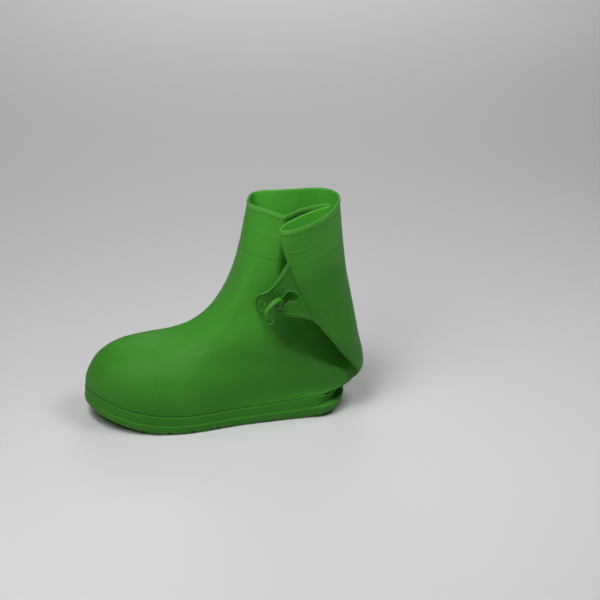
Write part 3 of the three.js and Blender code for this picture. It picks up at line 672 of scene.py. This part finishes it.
def upper_mesh(upper, sole):
    """The open shell: outer face with its moulded lines, round rim and inner face."""
    around = columns()
    dense = surface(knots(upper, sole), np.linspace(0, 1, 420), around)
    steps = np.linalg.norm(np.diff(dense, axis=0), axis=-1)
    run = np.concatenate([np.cumsum(steps[::-1], axis=0)[::-1], np.zeros((1, len(around)))])
    drop, groove = drops(upper, run[0], around)
    outer = along_columns(dense, run, drop)
    out = normals_of(outer)
    out[0] = unit(out[0] * FLAT)
    bead = mix(upper.bead_top, upper.bead, np.clip(drop / upper.bead_band, 0, 1))
    in_band = smooth(drop, upper.bead_band + 0.0012, upper.bead_band - 0.0010)
    bead = bead * in_band
    ridge = upper.ridge * bump(drop - upper.ridge_drop, 0.0026)
    line = -upper.groove * bump(drop - groove, 0.0022)
    skin = outer + out * (bead + ridge + line)[..., None]

    half = (upper.wall + upper.bead_top) / 2
    centre = (upper.bead_top - upper.wall) / 2
    up = unit(dense[-1] - dense[-4])
    turns = np.radians(np.linspace(15, 165, 9))
    rim = np.array([
        outer[-1] + up * half * math.sin(t) + out[-1] * (centre + half * math.cos(t)) for t in turns
    ])

    inner_rows = np.concatenate([np.arange(len(outer) - 1, 0, -5), [0]])
    inner = outer[inner_rows] - out[inner_rows] * upper.wall
    grid = np.concatenate([skin, rim, inner])
    size = len(around)
    mesh = new_mesh("upper", grid.reshape(-1, 3), ring_faces(len(grid), size, True))
    # Painted highlight: the rim band, the ridge and the rim's lip are marked to be painted paler, the groove
    # less so
    edge = np.zeros(grid.shape[:2])
    rows = len(skin)
    edge[:rows] = in_band + 0.3 * bump(drop - upper.ridge_drop, 0.0022)
    edge[:rows] -= 0.5 * bump(drop - groove, 0.002)
    edge[rows:rows + len(rim)] = np.linspace(0.7, 0.1, len(rim))[:, None]
    mark(mesh, "edge", np.clip(edge, 0, 1))
    # Painted shade: the moulded groove and the fold under the outer flap are marked to be painted darker
    hollow = np.zeros(grid.shape[:2])
    hollow[:rows] = 0.7 * bump(drop - groove, 0.002)
    corner, fold = CORNER / len(STRETCHES), FOLD_EDGE / len(STRETCHES)
    in_fold = smooth(around, corner - 0.05, corner + 0.03) * (1 - smooth(around, fold - 0.01, fold))
    hollow[:rows] += in_fold * (1 - smooth(outer[..., 2], *FOLD_SHADE))
    mark(mesh, "hollow", hollow)
    outside = np.arange(len(grid))[:, None] < rows
    # Painted light: the outer face is marked to be painted lighter high on the shaft
    start = mix(*PAINTED_LIGHT_FROM, on_flap_at(around))
    mark(mesh, "thin", smooth(grid[..., 2], start, start + PAINTED_LIGHT_OVER) * outside)
    # Painted light: the inner face is marked to be painted lighter
    inside = np.arange(len(grid))[:, None] >= rows + len(rim) - 2
    mark(mesh, "lining", np.broadcast_to(inside, grid.shape[:2]))
    for name, values in zip(("along", "along_shows", "across", "across_shows"), mould_lines(grid)):
        mark(mesh, name, values * outside if name.endswith("shows") else values)
    return mesh


# Outsole

def outsole_rings(upper, sole):
    """The sole follows the upper's lowest section, pushed in or out by the steps of its side."""
    edge = surface(knots(upper, sole), [0.0], columns())[0]
    along = unit((np.roll(edge, -1, axis=0) - np.roll(edge, 1, axis=0)) * FLAT)
    plan = np.stack([along[:, 1], -along[:, 0], np.zeros(len(edge))], axis=1)
    x = edge[:, 0]
    reach = upper.reach
    heel = smooth(x, 0.60 * reach, 0.74 * reach)
    toe = smooth(-x, 0.4 * reach, 0.9 * reach)
    band = mix(sole.band_step, -sole.neck, heel)
    broader = LEDGE_BROADER * bump(x - LEDGE_BROAD_AT * reach, LEDGE_BROAD_OVER * reach)
    ledge = sole.ledge * heel * (1 + broader)
    tuck = -TREAD_TUCK - TOE_TUCK * toe - HEEL_TUCK * heel

    def ring(out, part=None, height=None, shrink=1.0):
        moved = edge + plan * np.broadcast_to(out, x.shape)[:, None]
        moved[:, :2] *= shrink
        lift = lift_at(moved[:, 0], upper, sole)
        moved[:, 2] = height + lift if part is None else mix(lift, edge[:, 2] - GAP, part)
        return moved

    low, edge_out = 0.5 * tuck + 0.0006, sole.edge_step
    rise = LEDGE_RISE * heel
    rings = [ring(tuck - 0.0004, height=0.0, shrink=s) for s in (0.3, 0.6, 0.85)]
    rings += [ring(tuck - 0.0006, height=0.0), ring(tuck, height=0.0004)]
    rings += [ring(mix(tuck, low, t), part=0.075 * t + 0.015) for t in (0.4, 0.75, 1.0)]
    # Each ring of the side: its height as a share of the side's height, and how far out it lies.
    sides = [
        (0.15, mix(low, edge_out + 0.25 * ledge, 0.5)), (0.22, edge_out - 0.0003 + 0.5 * ledge),
        (0.32 + 0.04 * heel, edge_out - 0.0001 + 0.75 * ledge), (0.40 + rise, edge_out + 0.92 * ledge),
        (0.44 + rise, edge_out + ledge), (0.462 + rise, edge_out + 0.97 * ledge),
        (0.478 + rise, edge_out - 0.0002 + 0.85 * ledge), (0.492 + rise, edge_out - 0.0006 + 0.62 * ledge),
        (0.505 + rise, mix(edge_out - 0.0006, band, 0.5) + 0.3 * ledge),
        (0.52 + rise, band - 0.0002), (0.54 + rise, band - 0.0002),
        (0.60 + 0.6 * rise, band), (0.72 + 0.2 * rise, band), (0.82, band),
        (0.86, mix(band, sole.band_step, 0.25)), (0.90, mix(band, sole.band_step, 0.8)),
        (0.93, sole.band_step), (0.955, sole.band_step - 0.0001), (0.975, sole.band_step - 0.0005),
        (0.99, 0.0), (1.0, -0.0006), (1.0, -0.0016),
    ]
    rings += [ring(out, part=part) for part, out in sides]
    rings += [ring(-sole.lip, part=1.0), ring(-sole.lip - 0.0002, height=sole.floor + 0.001)]
    rings += [ring(-sole.lip - 0.001, height=sole.floor)]
    rings += [ring(-sole.lip - 0.001, height=sole.floor, shrink=s) for s in (0.8, 0.4)]
    return np.array(rings)


def boxes(rows):
    """One mesh of separate boxes with a narrower top, each from a middle, sizes and a taper."""
    points, faces = [], []
    for middle, size, taper in rows:
        start = len(points)
        for k in (-1, 1):
            wide = size[0] * (taper if k > 0 else 1)
            for a, b in ((-1, -1), (1, -1), (1, 1), (-1, 1)):
                points.append(np.array(middle) + np.array([a * wide, b * size[1], k * size[2]]) / 2)
        faces += [[start + i for i in face] for face in (
            (0, 3, 2, 1), (4, 5, 6, 7), (0, 1, 5, 4), (1, 2, 6, 5), (2, 3, 7, 6), (3, 0, 4, 7),
        )]
    return new_mesh("cutter", np.array(points), faces)


def cut(piece, cutter_mesh):
    """Takes the cutter's solids out of a piece."""
    cutter = shown("cutter", cutter_mesh)
    step = piece.modifiers.new("cut", "BOOLEAN")
    step.operation = "DIFFERENCE"
    step.solver = "MANIFOLD"
    step.object = cutter
    depsgraph = bpy.context.evaluated_depsgraph_get()
    mesh = bpy.data.meshes.new_from_object(piece.evaluated_get(depsgraph))
    piece.modifiers.clear()
    piece.data = mesh
    bpy.data.objects.remove(cutter)


def outsole_mesh(upper, sole):
    rings = outsole_rings(upper, sole)
    size = rings.shape[1]
    ends = [rings[0].mean(axis=0), rings[-1].mean(axis=0)]
    points = np.concatenate([rings.reshape(-1, 3), ends])
    count = len(rings)
    faces = ring_faces(count, size, False)
    faces += cap(0, size, count * size, True) + cap(count - 1, size, count * size + 1, False)
    return new_mesh("outsole", points, faces)


def tread_cuts(upper, sole):
    wide = 4 * upper.girth
    rows = []
    for x in GROOVES:
        at = x * upper.reach
        lift = float(lift_at(at, upper, sole))
        rows.append(((at, 0, lift), (sole.cleat_gap * 1.35, wide, 2 * sole.cleat_depth), 0.55))
    arch_mid = (ARCH[0] + ARCH[1]) / 2 * upper.reach
    rows.append(((arch_mid, 0, 0), ((ARCH[1] - ARCH[0]) * upper.reach, wide, ARCH_HEIGHT), 0.94))
    return boxes(rows)


# Strap

def bend(places, seam, upper, strap):
    """The strap's bent middle surface over flat places, and the way its face looks."""
    top, foot = seam

    def depth(x, z):
        along = unit(np.array([foot[0] - top[0], foot[2] - top[2]]))
        distance = (x - top[0]) * along[1] - (z - top[2]) * along[0]
        t = np.clip(distance / strap.span, 0, 1)
        rise = (np.clip(z, foot[2], top[2]) - foot[2]) / (top[2] - foot[2])
        return mix(mix(foot[1], top[1], rise), -0.82 * upper.girth, 1 - (1 - t) ** 1.6)

    x, z = places[:, 0], places[:, 1]
    step = 0.0005
    slope_x = (depth(x + step, z) - depth(x - step, z)) / (2 * step)
    slope_z = (depth(x, z + step) - depth(x, z - step)) / (2 * step)
    out = unit(np.stack([slope_x, -np.ones(len(x)), slope_z], axis=1))
    return np.stack([x, depth(x, z), z], axis=1), out


def fold_edge(upper, sole):
    """The fold's free edge as a dense line."""
    return spline(knots(upper, sole)[:, FOLD_EDGE], np.linspace(0, 1, 400))


def seam_points(upper, sole):
    line = fold_edge(upper, sole)
    heights = np.linspace(SEAM_FOOT, SEAM_TOP, 6) * upper.shaft
    return np.stack([np.interp(heights, line[:, 2], line[:, i]) for i in range(3)], axis=1)


def keyhole_reach(start, ways, upper, strap):
    """How far the keyhole reaches from a point on its axis: a round hole joined to a slot."""
    flat = np.array([upper.reach, upper.shaft])
    hole, end = KEYHOLE * flat, SLOT_END * flat
    best = np.zeros(len(ways))
    discs = [(hole, strap.keyhole)] + [(mix(hole, end, t), strap.slot) for t in np.linspace(0, 1, 60)]
    for centre, radius in discs:
        ahead = ways @ (centre - start)
        inside = radius ** 2 - (centre - start) @ (centre - start) + ahead ** 2
        reached = np.where(inside > 0, ahead + np.sqrt(np.maximum(inside, 0)), 0)
        best = np.maximum(best, reached)
    return best


def strap_heights(places, lines, strap):
    """Relief of the strap's face: borders, seam ridge and keyhole bead, with masks of painted highlight on
    the raised edges and painted shade in the grooves beside them.
    """
    free, seam, keyhole = lines
    edge, where = from_line(places, free)
    seam_gap, _ = from_line(places, seam)
    hole_gap, _ = from_line(places, keyhole)
    head = smooth(where, *HEAD_FROM) * (1 - smooth(where, *HEAD_TO))
    upper_side = 1 - smooth(where, *HEAD_FROM)
    lower_side = smooth(where, *HEAD_TO)
    width = mix(BORDER_WIDE, BORDER_NARROW, smooth(where, 0.04, HEAD_FROM[0]))
    broad = 1.3 * bump(edge - width / 2, width) - 0.35 * bump(edge - width - 0.0003, 0.0010)
    double = 0.7 * bump(edge - 0.0012, 0.0024) + 1.0 * bump(edge - 0.0044, 0.0034)
    double = double - 0.35 * bump(edge - 0.0065, 0.0010)
    lip = bump(edge - 0.0010, 0.0022)
    relief = upper_side * broad + head * lip + lower_side * double
    ridge = bump(seam_gap - 0.0013, 0.0026) - 0.5 * bump(seam_gap - 0.0031, 0.0013)
    relief = np.where(seam_gap < 0.0022, np.maximum(relief, ridge), relief + np.minimum(ridge, 0))
    bead = bump(hole_gap - 0.0008, 0.0022)
    relief = np.maximum(relief, bead)
    # Painted highlight on the borders, the head's lip and the keyhole bead
    light = np.maximum(upper_side * bump(edge - 0.4 * width, width), head * lip)
    light = np.maximum(light, 0.7 * lower_side * np.clip(double, 0, 1))
    # Painted shade in the grooves beside the seam ridge and under the borders
    painted_shade_marks = np.maximum(0.8 * bump(seam_gap - 0.0031, 0.0014), upper_side * bump(edge - width - 0.0003, 0.0010))
    painted_shade_marks = np.maximum(painted_shade_marks, lower_side * bump(edge - 0.0065, 0.0010)) * (bead < 0.1)
    return relief * strap.border, np.clip(np.maximum(light, bead), 0, 1), np.clip(painted_shade_marks, 0, 1)


def dome(middle, out, radius):
    """Rings of a low round nub that stands on a face."""
    side = unit(np.cross(out, np.array([0.0, 0.0, 1.0])))
    up = np.cross(side, out)
    around = np.linspace(0, 2 * math.pi, 24, endpoint=False)
    circle = np.outer(np.cos(around), side) + np.outer(np.sin(around), up)
    turns = np.radians(np.linspace(0, 80, 9))
    rings = [middle - out * 0.0005 + circle * radius]
    rings += [middle + circle * radius * math.cos(t) + out * 0.78 * radius * math.sin(t) for t in turns]
    return np.array(rings)


def strap_mesh(upper, sole, strap):
    flat = np.array([upper.reach, upper.shaft])
    seam3 = seam_points(upper, sole)
    seam = seam3[:, [0, 2]] + np.array([0.001, 0])
    free = np.concatenate([seam[-1:], STRAP_EDGE * flat, seam[:1]])
    free = spaced(spline(free, np.linspace(0, 1, 600)), 300)
    seam_line = spaced(spline(seam, np.linspace(0, 1, 200)), 90)
    outline = np.concatenate([free[:-1], seam_line[:-1]])
    start = mix(KEYHOLE * flat, SLOT_END * flat, 0.2)
    ways = unit(outline - start)
    hole = start + ways * keyhole_reach(start, ways, upper, strap)[:, None]
    gap = np.linalg.norm(outline - hole, axis=1, keepdims=True)
    margins = [0, 0.0002, 0.0005, 0.0009, 0.0013, 0.0018, 0.0024, 0.0030, 0.0036, 0.0042, 0.0048,
               0.0054, 0.0060, 0.0068]
    hole_margins = [0.0028, 0.0022, 0.0018, 0.0014, 0.0010, 0.0006, 0.0003, 0]
    ways_in = (hole - outline) / gap
    face = [outline + ways_in * np.minimum(m, gap * 0.55) for m in margins]
    last = face[-1]
    near_hole = [hole - ways_in * np.minimum(m, gap * 0.3) for m in hole_margins]
    face += [mix(last, near_hole[0], t) for t in np.linspace(0, 1, 26)[1:-1]]
    face += near_hole
    face = np.array(face)
    count, size = face.shape[:2]
    places = face.reshape(-1, 2)
    lines = (free, seam_line, np.concatenate([hole, hole[:1]]))
    relief, light, painted_shade_marks = strap_heights(places, lines, strap)
    half = strap.thick / 2
    middle, out = bend(places, (seam3[-1], seam3[0]), upper, strap)
    rounding = np.zeros((count, size))
    rounding[0], rounding[1] = 0.0006, 0.0002
    rounding[-1], rounding[-2] = 0.0004, 0.0001
    height = half + relief - rounding.ravel()
    top = (middle + out * height[:, None]).reshape(count, size, 3)
    flat_rows = [count - 1, count - 12, count // 2, 12, 0]
    under = (middle - out * half).reshape(count, size, 3)[flat_rows]
    grid = np.concatenate([top, under])
    points, faces = grid.reshape(-1, 3), ring_faces(len(grid), size, True)
    extra = np.zeros(len(flat_rows) * size)
    light, painted_shade_marks = np.concatenate([light, extra]), np.concatenate([painted_shade_marks, extra])
    nub_middle, nub_out = bend(NUBS * flat, (seam3[-1], seam3[0]), upper, strap)
    for middle, out in zip(nub_middle, nub_out):
        rings = dome(middle + out * half, out, strap.nub)
        start, around = len(points), rings.shape[1]
        ends = [rings[0].mean(axis=0), rings[-1].mean(axis=0)]
        points = np.concatenate([points, rings.reshape(-1, 3), ends])
        more = ring_faces(len(rings), around, False)
        more += cap(0, around, len(rings) * around, True)
        more += cap(len(rings) - 1, around, len(rings) * around + 1, False)
        faces += [[start + i for i in face] for face in more]
        # Painted highlight on the nubs
        light = np.concatenate([light, np.full(len(points) - start, 0.35)])
        painted_shade_marks = np.concatenate([painted_shade_marks, np.zeros(len(points) - start)])
    mesh = new_mesh("closure_strap", points, faces)
    # Marks of painted highlight and painted shade
    mark(mesh, "edge", light)
    mark(mesh, "hollow", painted_shade_marks)
    return mesh


# Button

def button_mesh(upper, sole, strap, button):
    """An oval, slightly pointed disc with a dished face round a small eye, on a stem."""
    fine = spline(BUTTON_PROFILE, np.linspace(0, 1, 84))
    fine[:, 0] = np.maximum(fine[:, 0], 0)
    turns = np.linspace(0, 2 * math.pi, 96, endpoint=False)
    pointed = 1 - 0.34 * ((1 - np.cos(turns)) / 2) ** 1.5
    long = unit(BUTTON_LONG)
    face = unit(BUTTON_FACE - long * (BUTTON_FACE @ long))
    side = np.cross(long, face)
    seam3 = seam_points(upper, sole)
    flat = np.array([upper.reach, upper.shaft])
    middle, out = bend((BUTTON_AT * flat)[None], (seam3[-1], seam3[0]), upper, strap)
    middle = middle[0] + out[0] * (strap.thick / 2 + button.stand_off)
    rings = []
    for radius, height in fine[1:-1]:
        squeeze = mix(1.0, pointed, radius)
        aside = long * button.long * EYE_SHIFT * (1 - radius) * (height > 0)
        rings.append(
            middle + aside + np.outer(np.cos(turns) * radius * button.long / 2, long)
            + np.outer(np.sin(turns) * radius * squeeze * button.wide / 2, side)
            + face * height * button.deep
        )
    rings = np.array(rings)
    size, count = len(turns), len(rings)
    ends = [middle + face * fine[0, 1] * button.deep]
    ends += [middle + long * button.long * EYE_SHIFT + face * fine[-1, 1] * button.deep]
    points = np.concatenate([rings.reshape(-1, 3), ends])
    faces = ring_faces(count, size, False)
    faces += cap(0, size, count * size, True) + cap(count - 1, size, count * size + 1, False)
    # Painted highlight round the button's rim
    edge = np.repeat(bump(fine[1:-1, 0] - 0.9, 0.36), size)
    edge = np.concatenate([edge, [0, 0]])
    # Painted shade inside the eye
    painted_shade_marks = np.concatenate([np.repeat((fine[1:-1, 0] < 0.2) * (np.arange(count) > 40), size), [0, 1]])

    around = np.linspace(0, 2 * math.pi, 40, endpoint=False)
    stem_size = len(around)
    slot_end = SLOT_END * flat + STEM_SHIFT
    end = np.array([slot_end[0], middle[1], slot_end[1]])
    base = len(points)
    circle = np.stack([np.cos(around), np.zeros(stem_size), np.sin(around)], axis=1)
    stem = np.array([end + np.array([0, d, 0]) + circle * button.stem * r for d, r in STEM_PROFILE])
    points = np.concatenate([points, stem.reshape(-1, 3), [stem[0].mean(axis=0), stem[-1].mean(axis=0)]])
    extra = ring_faces(len(stem), stem_size, False)
    extra += cap(0, stem_size, len(stem) * stem_size, True)
    extra += cap(len(stem) - 1, stem_size, len(stem) * stem_size + 1, False)
    faces += [[base + i for i in f] for f in extra]
    mesh = new_mesh("button", points, faces)
    rest = np.zeros(len(points) - base)
    mark(mesh, "edge", np.concatenate([edge, rest]))
    mark(mesh, "hollow", np.concatenate([painted_shade_marks, rest]))
    return mesh


# Stage

# Where each lamp hangs, what it points at and how wide it is. Its power is a setting of its name.
LAMPS = {
    "overhead": ((-0.5, -0.5, 2.3), (0.0, 0.0, 0.1), 0.8),
    "front": ((-0.35, -0.45, 0.75), (0.0, 0.0, 0.1), 0.5),
    "heel": ((0.5, -0.2, 1.0), (0.0, 0.0, 0.1), 0.5),
    "far_floor": ((0.4, 2.3, 1.5), (0.4, 2.4, 0.0), 1.5),
}
CAMERA_PLACE = Vector((-0.17726, -1.59166, 0.9052))
CAMERA_TARGET = Vector((0.09093, 0.01076, 0.13026))
CAMERA_LENS = 93.0
FLOOR_HALF = 12.0


def add_lamp(name, place, target, size, power):
    data = bpy.data.lights.new(name, "AREA")
    data.shape = "DISK"
    data.size = size
    data.energy = power
    lamp = bpy.data.objects.new(name, data)
    lamp.location = place
    lamp.rotation_mode = "QUATERNION"
    lamp.rotation_quaternion = (Vector(target) - Vector(place)).to_track_quat("-Z", "Y")
    bpy.context.scene.collection.objects.link(lamp)
    return lamp


def add_camera():
    data = bpy.data.cameras.new("camera")
    data.lens = CAMERA_LENS
    data.sensor_width = 36.0
    data.clip_end = 50.0
    camera = bpy.data.objects.new("camera", data)
    camera.location = CAMERA_PLACE
    camera.rotation_mode = "QUATERNION"
    camera.rotation_quaternion = (CAMERA_TARGET - CAMERA_PLACE).to_track_quat("-Z", "Y")
    bpy.context.scene.collection.objects.link(camera)
    bpy.context.scene.camera = camera


def add_floor(look):
    half = FLOOR_HALF
    corners = [(-half, -half, 0), (half, -half, 0), (half, half, 0), (-half, half, 0)]
    mesh = bpy.data.meshes.new("floor")
    mesh.from_pydata(corners, [], [(0, 1, 2, 3)])
    floor = shown("floor", mesh)
    shader = Shader("pale_floor")
    place = shader.node("ShaderNodeTexCoord", {}, {}, "Object")
    cloud = shader.noise(place, 3.0)
    colour = shader.blend(cloud, toned(look.floor, 0.99), toned(look.floor, 1.01))
    shader.put(shader.surface.inputs["Base Color"], colour)
    shader.surface.inputs["Roughness"].default_value = 0.8
    mesh.materials.append(shader.material)


# Operators

class OVERSHOE_OT_upper(bpy.types.Operator):
    """Builds the pleated shaft and foot of the overshoe"""

    bl_idname = "overshoe.upper"
    bl_label = "Upper"

    def execute(self, context):
        scene = context.scene
        piece = shown("upper_skin", upper_mesh(scene.overshoe_upper, scene.overshoe_sole))
        look = scene.overshoe_finish
        dress(piece, rubber("upper_rubber", look.upper, look), "upper")
        return {"FINISHED"}


class OVERSHOE_OT_outsole(bpy.types.Operator):
    """Builds the sole with its side band, heel ledge and tread"""

    bl_idname = "overshoe.outsole"
    bl_label = "Outsole"

    def execute(self, context):
        scene = context.scene
        upper, sole = scene.overshoe_upper, scene.overshoe_sole
        piece = shown("outsole_tread", outsole_mesh(upper, sole))
        cut(piece, tread_cuts(upper, sole))
        piece.data.shade_smooth()
        piece.data.set_sharp_from_angle(angle=math.radians(50))
        look = scene.overshoe_finish
        dress(piece, rubber("sole_rubber", look.sole, look), "outsole")
        return {"FINISHED"}


class OVERSHOE_OT_strap(bpy.types.Operator):
    """Builds the strap with its border, keyhole and nubs"""

    bl_idname = "overshoe.strap"
    bl_label = "Strap"

    def execute(self, context):
        scene = context.scene
        mesh = strap_mesh(scene.overshoe_upper, scene.overshoe_sole, scene.overshoe_strap)
        piece = shown("strap_moulding", mesh)
        look = scene.overshoe_finish
        dress(piece, rubber("strap_rubber", look.upper, look), "closure_strap")
        return {"FINISHED"}


class OVERSHOE_OT_button(bpy.types.Operator):
    """Builds the button on its stem"""

    bl_idname = "overshoe.button"
    bl_label = "Button"

    def execute(self, context):
        scene = context.scene
        mesh = button_mesh(
            scene.overshoe_upper, scene.overshoe_sole, scene.overshoe_strap, scene.overshoe_button,
        )
        piece = shown("button_moulding", mesh)
        look = scene.overshoe_finish
        dress(piece, rubber("button_rubber", look.upper, look), "button")
        return {"FINISHED"}


class OVERSHOE_OT_stage(bpy.types.Operator):
    """Lays the floor and sets the light and the camera"""

    bl_idname = "overshoe.stage"
    bl_label = "Stage"

    def execute(self, context):
        scene = context.scene
        look = scene.overshoe_stage
        add_floor(look)
        for name, (place, target, size) in LAMPS.items():
            add_lamp(name, place, target, size, getattr(look, name))
        world = bpy.data.worlds.new("studio")
        world.use_nodes = True
        background = world.node_tree.nodes["Background"]
        background.inputs["Color"].default_value = (1.0, 1.0, 1.0, 1.0)
        background.inputs["Strength"].default_value = look.sky
        scene.world = world
        scene.view_settings.view_transform = "Standard"
        add_camera()
        return {"FINISHED"}


class OVERSHOE_PT_build(bpy.types.Panel):
    """Lists the pieces of the overshoe"""

    bl_idname = "OVERSHOE_PT_build"
    bl_label = "Overshoe"
    bl_space_type = "VIEW_3D"
    bl_region_type = "UI"
    bl_category = "Overshoe"

    def draw(self, context):
        for operator in OPERATORS:
            self.layout.operator(operator.bl_idname)
        for group in SETTINGS:
            settings = getattr(context.scene, group)
            box = self.layout.box()
            for name in settings.__annotations__:
                box.prop(settings, name)


SETTINGS = {
    "overshoe_upper": UpperSizes, "overshoe_sole": SoleSizes, "overshoe_strap": StrapSizes,
    "overshoe_button": ButtonSizes, "overshoe_finish": FinishLook, "overshoe_stage": StageLook,
}
OPERATORS = [
    OVERSHOE_OT_stage, OVERSHOE_OT_upper, OVERSHOE_OT_outsole, OVERSHOE_OT_strap, OVERSHOE_OT_button,
]


def register():
    for kind in [*SETTINGS.values(), *OPERATORS, OVERSHOE_PT_build]:
        bpy.utils.register_class(kind)
    for name, kind in SETTINGS.items():
        setattr(bpy.types.Scene, name, bpy.props.PointerProperty(type=kind))


def unregister():
    for name in SETTINGS:
        delattr(bpy.types.Scene, name)
    for kind in [OVERSHOE_PT_build, *OPERATORS, *SETTINGS.values()]:
        bpy.utils.unregister_class(kind)


def main():
    register()
    bpy.ops.overshoe.stage()
    bpy.ops.overshoe.upper()
    bpy.ops.overshoe.outsole()
    bpy.ops.overshoe.strap()
    bpy.ops.overshoe.button()


if __name__ == "__main__":
    main()
